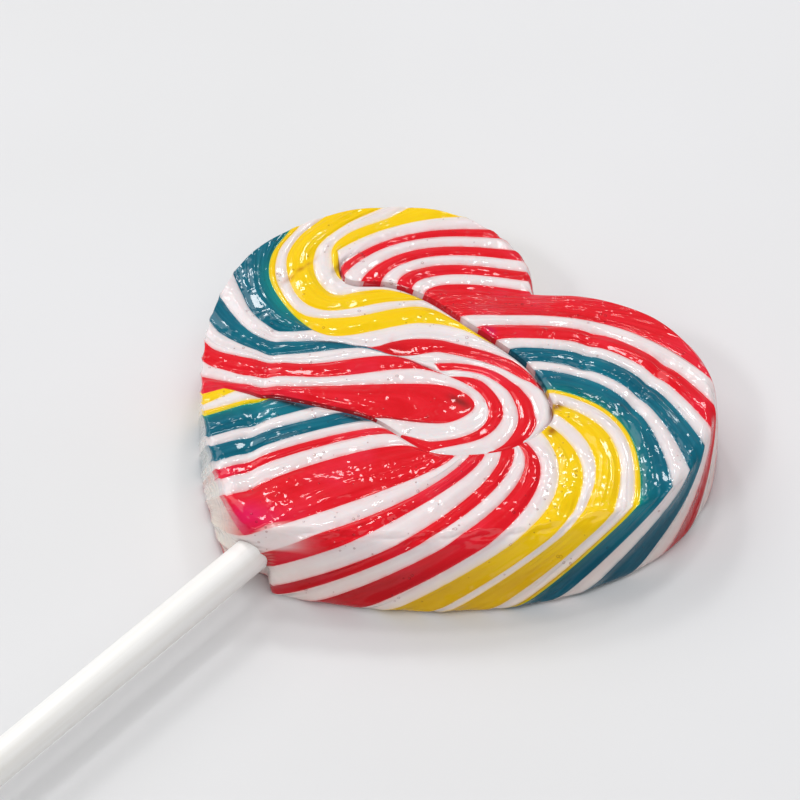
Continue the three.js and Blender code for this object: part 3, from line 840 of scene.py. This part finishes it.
@dataclass(frozen=True)
class SugarFinish:
    """Pulled sugar of one colour: faint streaks, tints from its neighbours and a glassy skin."""

    name: str
    colour: tuple
    deep: tuple
    pale: tuple
    # Dark tone for bubble rims, also used as painted shade in the seam's groove.
    speck_and_groove_shade: tuple
    # Painted shade: the colour is multiplied by this on the lower wall.
    low: tuple = (1.0, 1.0, 1.0, 1.0)
    tint: float = 0.5
    subsurface: float = 0.2
    swell_height: float = 0.3
    relief_heights: tuple = (0.26, 0.07, 0.17, 0.08)  # ripple, crest, hammer and bubble, in millimetres

    def material(self) -> bpy.types.Material:
        """Builds the material, which follows the strand's own coordinates in millimetres.

        Returns:
            The material.
        """
        n = Nodes(self.name)
        strand = n.add("ShaderNodeUVMap", uv_map="Strand").outputs[0]
        metres = n.add("ShaderNodeTexCoord").outputs["Object"]
        place = n.stretch(metres, 1000.0, 1000.0, 1000.0)
        streak = n.noise(n.stretch(strand, 1.0, 0.08, 1.0), 0.8, 4.0)
        hair = n.noise(n.stretch(strand, 1.0, 0.03, 1.0), 3.0, 2.0)
        cloud = n.noise(place, 0.1, 2.0)
        colour = n.mix(n.ramp(streak, 0.3, 0.7, 0.4, 1.0), self.deep, self.colour)
        colour = n.mix(n.ramp(cloud, 0.45, 0.75, 0.0, 0.5), colour, self.pale)
        colour = n.mix(n.ramp(hair, 0.55, 0.8, 0.0, 0.12), colour, self.pale)
        beside = n.add("ShaderNodeAttribute", attribute_name="beside")
        ragged = n.ramp(n.noise(place, 0.6), 0.3, 0.7, 0.5, 1.0)
        tint = n.math("MULTIPLY", beside.outputs["Alpha"], ragged)
        colour = n.mix(n.math("MULTIPLY", tint, self.tint), colour, beside.outputs["Color"])
        height = n.add("ShaderNodeSeparateXYZ", {0: place}).outputs["Z"]
        # Painted shade: the wall is darkened towards its foot, in full below 5 mm.
        colour = n.mix(n.ramp(height, 5.0, 13.5, 1.0, 0.0), colour, self.low, "MULTIPLY")
        # Stains of the sugar's own together with painted shade in the seam, its gaps, creases and where the
        # stick goes in.
        stain_and_shade = n.add("ShaderNodeAttribute", attribute_name="stain_and_shade")
        colour = n.mix(stain_and_shade.outputs["Alpha"], colour, stain_and_shade.outputs["Color"])
        cells = n.add("ShaderNodeTexVoronoi", {"Vector": place, "Scale": 0.75, "Randomness": 1.0})
        reach = n.ramp(n.noise(place, 0.3, 1.0), 0.45, 0.72, 0.02, 0.24)
        share = n.math("MINIMUM", n.math("DIVIDE", cells.outputs["Distance"], reach), 1.0)
        bubble = n.math("SQRT", n.math("SUBTRACT", 1.0, n.math("POWER", share, 2.0)))
        ring = n.math("MULTIPLY", n.ramp(share, 0.4, 0.75), n.ramp(share, 0.85, 1.0, 1.0, 0.0))
        colour = n.mix(n.math("MULTIPLY", ring, 0.5), colour, self.speck_and_groove_shade)
        lengthwise = n.stretch(strand, 1.0, 0.15, 1.0)
        ripple = n.noise(lengthwise, 0.55, 0.0)
        off_crest = n.math("ABSOLUTE", n.math("SUBTRACT", n.noise(lengthwise, 0.35, 0.0), 0.5))
        crested = n.ramp(n.noise(place, 0.12, 0.0), 0.44, 0.56)
        crest = n.math("MULTIPLY", n.ramp(off_crest, 0.0, 0.09, 1.0, 0.0), crested)
        hammered = n.ramp(n.noise(place, 0.14, 0.0), 0.42, 0.62, 0.15, 1.0)
        hammer = n.math("MULTIPLY", n.noise(place, 0.8, 0.0), hammered)
        height = n.math("MULTIPLY", n.noise(place, 0.18, 0.0), self.swell_height)
        for relief, size in zip((ripple, crest, hammer, bubble), self.relief_heights):
            height = n.math("MULTIPLY_ADD", relief, size, height)
        bump = n.bump(height, MM)
        return n.surface({
            "Base Color": colour, "Roughness": n.ramp(streak, 0.3, 0.75, 0.18, 0.32), "IOR": 1.5,
            "Normal": bump, "Specular IOR Level": 0.05, "Coat Weight": 1.0, "Coat Roughness": 0.01,
            "Coat IOR": 1.32, "Coat Normal": bump, "Subsurface Weight": self.subsurface,
            "Subsurface Radius": (1.0, 0.5, 0.4), "Subsurface Scale": 0.0012,
        })


@dataclass(frozen=True)
class StickFinish:
    """Smooth white stick with a faint grain along it."""

    name: str = "stick_white"
    colour: tuple = linear(250, 249, 247)
    grain: tuple = linear(242, 240, 236)

    def material(self) -> bpy.types.Material:
        """Builds the material on Object coordinates, along Y.

        Returns:
            The material.
        """
        n = Nodes(self.name)
        place = n.add("ShaderNodeTexCoord").outputs["Object"]
        grain = n.noise(n.stretch(place, 1.0, 0.02, 1.0), 700.0, 3.0)
        colour = n.mix(n.ramp(grain, 0.35, 0.7), self.colour, self.grain)
        return n.surface({
            "Base Color": colour, "Roughness": n.ramp(grain, 0.2, 0.8, 0.32, 0.42), "IOR": 1.49,
            "Normal": n.bump(grain, 0.0001, 0.12), "Subsurface Weight": 0.1,
            "Subsurface Radius": (1.0, 1.0, 1.0), "Subsurface Scale": 0.001,
        })


@dataclass(frozen=True)
class FloorFinish:
    """Plain pale floor with the faintest mottling."""

    name: str = "floor_pale"
    colour: tuple = linear(228, 228, 230)
    mottle: tuple = linear(225, 225, 226)

    def material(self) -> bpy.types.Material:
        """Builds the material.

        Returns:
            The material.
        """
        n = Nodes(self.name)
        place = n.add("ShaderNodeTexCoord").outputs["Object"]
        colour = n.mix(n.ramp(n.noise(place, 6.0), 0.3, 0.7), self.colour, self.mottle)
        return n.surface({"Base Color": colour, "Roughness": 0.85, "Specular IOR Level": 0.15})


# ---- Pieces ----


def make_piece(name: str, mesh: BMesh, materials: list) -> Object:
    """Turns a bmesh in metres into an object at the origin.

    Args:
        name: the piece's name.
        mesh: its bmesh, which is freed.
        materials: its materials in order.

    Returns:
        The object.
    """
    data = bpy.data.meshes.new(name)
    mesh.to_mesh(data)
    mesh.free()
    for material in materials:
        data.materials.append(material)
    piece = bpy.data.objects.new(name, data)
    bpy.context.collection.objects.link(piece)
    return piece


@dataclass(frozen=True)
class StainAndShade:
    """A local change of colour on the skin: some are stains of the sugar's own, some painted shade."""

    at: tuple
    reach: tuple
    turn: float
    colour: tuple
    strength: float
    on: Sugar | None = None
    low: float = 11.0
    high: float = 20.0
    fade: float = 0.8

    def weight(self, points: Array) -> Array:
        """How strong the patch is at points in space.

        Args:
            points: places on the skin, in millimetres.

        Returns:
            Its strength at each point, from 0.
        """
        offset = points[..., :2] - self.at
        c, s = math.cos(math.radians(self.turn)), math.sin(math.radians(self.turn))
        along = (offset[..., 0] * c + offset[..., 1] * s) / self.reach[0]
        across = (offset[..., 1] * c - offset[..., 0] * s) / self.reach[1]
        height = points[..., 2]
        band = smooth(height, self.low, self.low + self.fade) * smooth(self.high - height, 0.0, self.fade)
        return self.strength * np.exp(-(along ** 2 + across ** 2)) * band


@dataclass
class CandyHeart:
    """The fused sugar heart."""

    form: HeartForm = field(default_factory=HeartForm)
    crown: Crown = field(default_factory=Crown)
    merge: float = 0.004
    tint_reach: float = 1.6
    tint_share: float = 0.25
    tint: float = 0.3
    edge_reach: float = 0.2
    edge_tint: float = 0.55
    streak_shift: float = 31.7
    under_rows: int = 12
    under_twist: float = 0.35
    groove_step: float = 0.5
    bed_shade: float = 1.1
    lip_shade: float = 0.6
    stick_height: float = 7.0
    stick_radius: float = 3.0
    stick_shade: float = 0.6
    stick_shade_y: float = -30.0
    stick_shade_reach: float = 0.4
    stick_shade_colour: tuple = linear(104, 60, 50)
    # The tuple after the four tones of each finish is the painted shade of the lower wall.
    finishes: tuple = (
        SugarFinish("sugar_red", *linears((230, 18, 36), (208, 2, 14), (236, 44, 72), (112, 0, 8)),
                    (0.66, 0.5, 0.5, 1.0), 0.3, 0.15),
        SugarFinish("sugar_white", *linears((235, 226, 227), (228, 215, 216), (241, 236, 237), (146, 66, 62)),
                    (0.95, 0.91, 0.86, 1.0), 0.75, 0.3),
        SugarFinish("sugar_teal", *linears((0, 104, 126), (0, 76, 98), (0, 130, 146), (0, 30, 48)),
                    (0.5, 0.62, 0.66, 1.0), 0.9, 0.1),
        SugarFinish("sugar_yellow", *linears((247, 205, 0), (242, 194, 0), (251, 212, 0), (150, 88, 0)),
                    (0.74, 0.66, 0.3, 1.0), 0.9, 0.1),
    )
    # Where one sugar has run into another and the mix isn't simply the other's own colour.
    blends: tuple = (
        (T, Y, linear(0, 160, 104)),
        (Y, T, linear(150, 196, 0)),
    )
    # Patches of colour: stains of the sugar's own, and painted shade where noted.
    stains_and_shades: tuple = tuple(StainAndShade(*row) for row in (
        ((-1.5, -38.5), (5, 2.6), 30, (226, 24, 96), 0.75, R),
        ((-14, -31), (9, 3), -45, (232, 36, 100), 0.35, R),
        ((20.5, 12.7), (1.1, 0.8), 60, (120, 44, 0), 0.9),
        ((23.4, 7.9), (0.8, 1.2), 20, (150, 70, 0), 0.85, Y),
        # Painted shade: a thin dark line along the fold on the left lobe.
        ((-34, 8.6), (3.6, 0.35), 88, (186, 112, 0), 0.85),
        ((-33, 2), (7, 1.6), -30, (0, 146, 138), 0.55, T),
        ((-11, -38), (14, 3.2), -36, (238, 232, 216), 0.95, None, 1, 11.8),
        ((4.5, -38), (3.2, 2), 30, (234, 218, 216), 0.85, None, 10),
        ((13.6, -28.2), (0.5, 0.5), 0, (180, 0, 10), 1),
        ((-8.5, 5.1), (3, 1.2), 25, (176, 4, 14), 0.5, R),
        ((0.9, 18.8), (1.4, 0.8), -30, (196, 10, 90), 0.7, R),
        # Painted shade: dark red lines on the cliff and in the seam on the right.
        ((14.6, 15), (5, 0.35), -26, (84, 0, 8), 0.9),
        ((20.2, 11.6), (2.4, 0.4), -52, (84, 0, 8), 0.9),
        # Painted shadow: near black in the gaps under the red strand's edge at the lower left of the seam.
        ((-13.4, -16), (3.6, 0.6), 22, (12, 8, 18), 1),
        ((-3.2, -11.5), (2.6, 0.45), 22, (26, 4, 14), 0.95),
        # Painted shade: a dark line on the teal where it steps down beside the yellow.
        ((-18, -0.6), (3.4, 0.5), 34, (0, 22, 34), 0.8, T),
        # Painted shade: the dark crescent in the pit at the wide red strand's end.
        ((7.7, 2.9), (2.2, 0.8), 4, (104, 16, 10), 0.8, R),
        # Painted shade: a thin dark line along the step between the coil's strands.
        ((-3.7, 5), (4, 0.22), 16, (104, 34, 52), 0.6),
        ((-29.6, 14.6), (2.2, 0.5), 100, (70, 20, 0), 0.7),
    ))

    def build(self) -> Object:
        """Builds the skin from its strands, the groove and the closing ribbon.

        Returns:
            The candy.
        """
        fan = Fan(self.form, self.crown)
        coil = Coil(self.form, self.crown, fan)
        fan_strands = fan.build()
        coil_strands, coil_seam, corner = coil.build()
        # Both sets share the opening line, and a lace closes the gap to the closing line.
        fan_strands[0].points[:, 0] = coil_strands[0].points[fan.wall_rows + fan.rows::-1, 0]
        fan_strands[-1].points = fan_strands[-1].points[:, :-1]
        mesh = bmesh.new()
        mesh.loops.layers.uv.new("Strand")
        mesh.loops.layers.float_color.new("beside")
        mesh.loops.layers.float_color.new("stain_and_shade")
        mesh.verts.layers.float.new("bed")
        mesh.faces.layers.int.new("strand")
        laid = []
        for index, strand in enumerate(fan_strands + coil_strands):
            self.add_underside(strand)
            laid.append(self.lay(mesh, strand, index))
        last_fan, last_coil = laid[len(fan_strands) - 1][:, -1], laid[-1][:, -1]
        closing = last_coil[:self.under_rows + fan.wall_rows + corner + 1][::-1]
        fan_edge = [vert for strand in laid[:len(fan_strands)] for vert in strand[0]] + [closing[0]]
        self.cut_groove(mesh, fan_edge, coil_seam)
        self.lace(mesh, last_fan[:fan.rows + 1], closing[:corner + 1])
        self.lace(mesh, last_fan[fan.rows:], closing[corner:])
        bmesh.ops.remove_doubles(mesh, verts=mesh.verts, dist=self.merge)
        self.dress_laces(mesh)
        bmesh.ops.recalc_face_normals(mesh, faces=mesh.faces)
        bmesh.ops.scale(mesh, vec=(MM, MM, MM), verts=mesh.verts)
        for face in mesh.faces:
            face.smooth = True
        open_edges = sum(len(edge.link_faces) != 2 for edge in mesh.edges)
        LOG.info("candy: %d faces, %d open edges", len(mesh.faces), open_edges)
        return make_piece("candy_heart", mesh, [finish.material() for finish in self.finishes])

    def add_underside(self, strand: Strand) -> None:
        """Carries a strand on from the foot to the middle of the underside.

        Args:
            strand: the strand, whose points and neighbours are extended.
        """
        down = strand.points if strand.from_seam else strand.points[::-1]
        way = np.linspace(0.0, 1.0, self.under_rows + 1)[1:, None]
        turn = self.under_twist * way ** 2
        x, y = down[-1, :, 0] * (1 - way), down[-1, :, 1] * (1 - way)
        c, s = np.cos(turn), np.sin(turn)
        under = np.stack([x * c - y * s, x * s + y * c, 0 * x], -1)
        whole = np.vstack([down, under])
        strand.points = whole if strand.from_seam else whole[::-1]
        more = ((0, self.under_rows), (0, 0)) if strand.from_seam else ((self.under_rows, 0), (0, 0))
        strand.beside = np.pad(strand.beside, more, mode="edge")

    def lay(self, mesh: BMesh, strand: Strand, index: int) -> Array:
        """Lays one strand as a grid and writes its own coordinates and colours on it.

        Args:
            mesh: the skin so far.
            strand: the strand.
            index: its number, which sets its streaks apart from the next one's.

        Returns:
            The grid's vertices by row and column.
        """
        rows, columns = strand.points.shape[:2]
        verts = bmesh.ops.create_grid(mesh, x_segments=columns - 1, y_segments=rows - 1, size=1.0)["verts"]
        grid, spots = np.empty((rows, columns), object), {}
        for vert in verts:
            row = round((vert.co.y + 1) / 2 * (rows - 1))
            column = round((vert.co.x + 1) / 2 * (columns - 1))
            grid[row, column] = vert
            spots[vert] = (row, column)
            vert.co = strand.points[row, column]
        uv_layer = mesh.loops.layers.uv["Strand"]
        beside_layer, stain_and_shade_layer = (mesh.loops.layers.float_color[name] for name in ("beside", "stain_and_shade"))
        strand_layer = mesh.faces.layers.int["strand"]
        uv, beside, stain_and_shade = self.colours(strand, index)
        for face in {face for vert in verts for face in vert.link_faces}:
            face.material_index = strand.sugar.value
            face[strand_layer] = index + 1
            for loop in face.loops:
                spot = spots[loop.vert]
                loop[uv_layer].uv = uv[spot]
                loop[beside_layer] = beside[spot]
                loop[stain_and_shade_layer] = stain_and_shade[spot]
        return grid

    def colours(self, strand: Strand, index: int) -> tuple[Array, Array, Array]:
        """What the sugar's material reads on a strand.

        Args:
            strand: the strand.
            index: its number.

        Returns:
            Coordinates across and along, the colour beside, and the stains together with painted shade, for
            every point.
        """
        across, width, along = strand.lines()
        uv = np.stack([across * np.median(width) + index * self.streak_shift, along], -1)
        edge = np.minimum(across, 1 - across) * width
        reach = np.minimum(self.tint_reach, width * self.tint_share) + 1e-6
        palette = np.array([finish.colour for finish in self.finishes])
        for sugar, other, colour in self.blends:
            if sugar is strand.sugar:
                palette[other.value] = colour
        tones = palette[strand.beside]
        beside = np.where(across[..., None] < 0.5, tones[:, :1], tones[:, 1:])
        beside[..., 3] = self.edge_tint * np.exp(-edge / self.edge_reach) + self.tint * np.exp(-edge / reach)
        if strand.sugar is not W:
            nearest = np.where(across < 0.5, strand.beside[:, :1], strand.beside[:, 1:])
            beside[..., 3] *= nearest != W.value
        stain_and_shade = np.zeros_like(beside)
        for one in (one for one in self.stains_and_shades if one.on in (None, strand.sugar)):
            weight = one.weight(strand.points)
            stain_and_shade = np.where((weight > stain_and_shade[..., 3])[..., None], linear(*one.colour, 0.0), stain_and_shade)
            stain_and_shade[..., 3] = np.maximum(stain_and_shade[..., 3], weight)
        # Painted shade: the sugar is darkened in a ring where the stick goes in.
        x, y, z = np.moveaxis(strand.points, -1, 0)
        from_stick = np.hypot(x, z - self.stick_height) - self.stick_radius
        near = np.exp(-(from_stick / self.stick_shade_reach) ** 2)
        shade = self.stick_shade * near * (y < self.stick_shade_y)
        part = np.where(stain_and_shade[..., 3] > shade, shade, 1.0)[..., None]
        stain_and_shade[..., :3] = lerp(stain_and_shade[..., :3], np.array(self.stick_shade_colour[:3]), part)
        stain_and_shade[..., 3] = np.maximum(stain_and_shade[..., 3], shade)
        return uv, beside, stain_and_shade

    def cut_groove(self, mesh: BMesh, fan_edge: list, coil_seam: Array) -> None:
        """Closes the seam with a groove between its two sides.

        Args:
            mesh: the skin so far.
            fan_edge: vertices of the fan along the seam.
            coil_seam: places of the coil along the seam.
        """
        form = self.form
        along = np.linspace(0.0, form.seam_end, round(form.seam_end / self.groove_step) + 1)
        lips = [form.top(form.seam_edge(along, side), side, 0.0)[:, 2] for side in Side]
        openness = form.groove_share(along) * stations(form.groove_open, along)
        bed = np.minimum(*lips) - form.groove_depth * openness
        middle = [mesh.verts.new((*spot, z)) for spot, z in zip(form.seam.at(along), bed)]
        # How strong the painted shade is on the groove's bed.
        bed_layer = mesh.verts.layers.float["bed"]
        for vert, share in zip(middle, openness):
            vert[bed_layer] = min(1.0, share * self.bed_shade)
        coil_edge = [mesh.verts.new(spot) for spot in form.top(coil_seam, Side.COIL, 0.0)]
        self.lace(mesh, fan_edge, middle)
        self.lace(mesh, middle, coil_edge)

    @staticmethod
    def lace(mesh: BMesh, right: list, left: list) -> None:
        """Laces two lines of vertices together, always across the shorter way.

        Args:
            mesh: the skin.
            right: one line of vertices.
            left: the line beside it, which runs the same way.
        """
        i = j = 0
        while i < len(right) - 1 or j < len(left) - 1:
            step_right = (right[i + 1].co - left[j].co).length if i < len(right) - 1 else math.inf
            step_left = (left[j + 1].co - right[i].co).length if j < len(left) - 1 else math.inf
            if step_right < step_left:
                corners = (right[i], right[i + 1], left[j])
                i += 1
            else:
                corners = (right[i], left[j + 1], left[j])
                j += 1
            if len(set(corners)) == 3:
                mesh.faces.new(corners)

    def dress_laces(self, mesh: BMesh) -> None:
        """Gives the laced faces the sugar of the strands that they touch, with painted shade down in the
        groove.

        Args:
            mesh: the skin, with its laces.
        """
        bed_layer = mesh.verts.layers.float["bed"]
        strand_layer = mesh.faces.layers.int["strand"]
        colours = mesh.loops.layers.float_color
        layers = [mesh.loops.layers.uv["Strand"], colours["beside"], colours["stain_and_shade"]]
        for face in [face for face in mesh.faces if face[strand_layer] == 0]:
            sources = []
            for loop in face.loops:
                near = [other for other in loop.vert.link_loops if other.face[strand_layer] > 0]
                sources.append(near[0] if near else None)
            known = next((source for source in sources if source), None)
            if known is None:
                continue
            face.material_index = known.face.material_index
            deepest = max(vert[bed_layer] for vert in face.verts)
            for loop, source in zip(face.loops, sources):
                source = source if source and source.face.material_index == face.material_index else known
                loop[layers[0]].uv = source[layers[0]].uv
                for layer in layers[1:]:
                    loop[layer] = source[layer]
                depth = max(loop.vert[bed_layer], self.lip_shade * deepest)
                # Painted shade: the groove's faces take the sugar's dark tone, stronger towards the bed.
                loop[layers[2]] = (*self.finishes[face.material_index].speck_and_groove_shade[:3], depth)
        mesh.faces.layers.int.remove(strand_layer)
        mesh.verts.layers.float.remove(bed_layer)


@dataclass
class Stick:
    """The straight round stick that lies along -Y."""

    diameter: float = 6.0
    height: float = 7.0
    length: float = 150.0
    inner_end: float = -5.3
    edge: float = 0.5
    sides: int = 72
    edge_segments: int = 4
    cuts: int = 24
    finish: StickFinish = StickFinish()

    def build(self) -> Object:
        """Builds the stick from a cylinder with rounded ends.

        Returns:
            The stick.
        """
        mesh = bmesh.new()
        radius = self.diameter / 2
        bmesh.ops.create_cone(mesh, cap_ends=True, segments=self.sides, radius1=radius, radius2=radius,
                              depth=self.length)
        rims = [edge for edge in mesh.edges if abs(edge.verts[0].co.z - edge.verts[1].co.z) < 0.01]
        bmesh.ops.bevel(mesh, geom=rims, offset=self.edge, segments=self.edge_segments, profile=0.5,
                        affect="EDGES", material=-1)
        sides = [edge for edge in mesh.edges if edge.calc_length() > self.length / 2]
        bmesh.ops.subdivide_edges(mesh, edges=sides, cuts=self.cuts, use_grid_fill=True)
        bmesh.ops.rotate(mesh, cent=(0, 0, 0), matrix=Matrix.Rotation(math.pi / 2, 3, "X"), verts=mesh.verts)
        bmesh.ops.translate(mesh, vec=(0, self.inner_end - self.length / 2, self.height), verts=mesh.verts)
        bmesh.ops.scale(mesh, vec=(MM, MM, MM), verts=mesh.verts)
        for face in mesh.faces:
            face.smooth = len(face.verts) <= 4
        return make_piece("stick_rod", mesh, [self.finish.material()])


# ---- Studio ----


@dataclass(frozen=True)
class Softbox:
    """A soft lamp that looks at the heart."""

    name: str
    towards: tuple
    power: float
    size: tuple = (0.26, 0.26)
    distance: float = 2.2


@dataclass
class Studio:
    """Pale floor, soft lamps and the camera."""

    floor_size: float = 8.0
    camera_at: tuple = (0.2441, -0.2820, 0.3930)
    camera_target: tuple = (-0.00949, 0.00744, 0.0)
    lens: float = 143.55
    sensor: float = 36.0
    floor_drop: float = 0.0001
    world: float = 0.33
    lamps: tuple = (
        Softbox("key", (-0.85, 0.05, 0.72), 13.0, (1.4, 1.2)),
        Softbox("top", (0.3, 0.0, 1.0), 9.0, (1.2, 1.2)),
        Softbox("fill", (0.6, -0.6, 0.55), 5.0, (1.2, 1.0)),
        Softbox("glint_back", (-0.25, 0.62, 0.74), 5.0),
        Softbox("glint_left", (-0.64, 0.33, 0.7), 5.0),
        Softbox("glint_top", (-0.33, 0.3, 0.89), 5.0),
        Softbox("glint_front", (-0.1, -0.66, 0.7), 8.0, (0.5, 0.3)),
    )

    def build(self) -> Object:
        """Sets up the world, the lamps, the camera and the floor.

        Returns:
            The floor.
        """
        scene = bpy.context.scene
        scene.view_settings.view_transform = "Standard"
        world = bpy.data.worlds.new("studio")
        world.use_nodes = True
        background = world.node_tree.nodes["Background"]
        background.inputs["Color"].default_value = (1.0, 1.0, 1.0, 1.0)
        background.inputs["Strength"].default_value = self.world
        scene.world = world
        for lamp in self.lamps:
            light = bpy.data.lights.new(lamp.name, "AREA")
            light.shape, light.energy = "RECTANGLE", lamp.power
            light.size, light.size_y = lamp.size
            place = Vector(lamp.towards).normalized() * lamp.distance
            self.aim(bpy.data.objects.new(lamp.name, light), place, (0, 0, 0))
        camera = bpy.data.cameras.new("camera")
        camera.lens, camera.sensor_width = self.lens, self.sensor
        scene.camera = self.aim(bpy.data.objects.new("camera", camera), self.camera_at, self.camera_target)
        mesh = bmesh.new()
        bmesh.ops.create_grid(mesh, x_segments=8, y_segments=8, size=self.floor_size / 2)
        bmesh.ops.translate(mesh, vec=(0, 0, -self.floor_drop), verts=mesh.verts)
        return make_piece("floor", mesh, [FloorFinish().material()])

    @staticmethod
    def aim(thing: Object, place: tuple, target: tuple) -> Object:
        """Places a lamp or camera so that it looks at a target.

        Args:
            thing: the lamp or camera.
            place: where it stands, in metres.
            target: what it looks at.

        Returns:
            The same lamp or camera.
        """
        bpy.context.collection.objects.link(thing)
        thing.location = place
        thing.rotation_euler = (Vector(target) - Vector(place)).to_track_quat("-Z", "Y").to_euler()
        return thing


def main() -> None:
    """Builds the lollipop and its studio."""
    Studio().build()
    for maker, node in ((CandyHeart(), "candy"), (Stick(), "stick")):
        piece = maker.build()
        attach(piece, "root")
        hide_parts(node)
        LOG.info("%s: %d faces", piece.name, len(piece.data.polygons))
    bpy.context.view_layer.update()


if __name__ == "__main__":
    logging.basicConfig(level=logging.INFO, format="%(name)s: %(message)s")
    main()
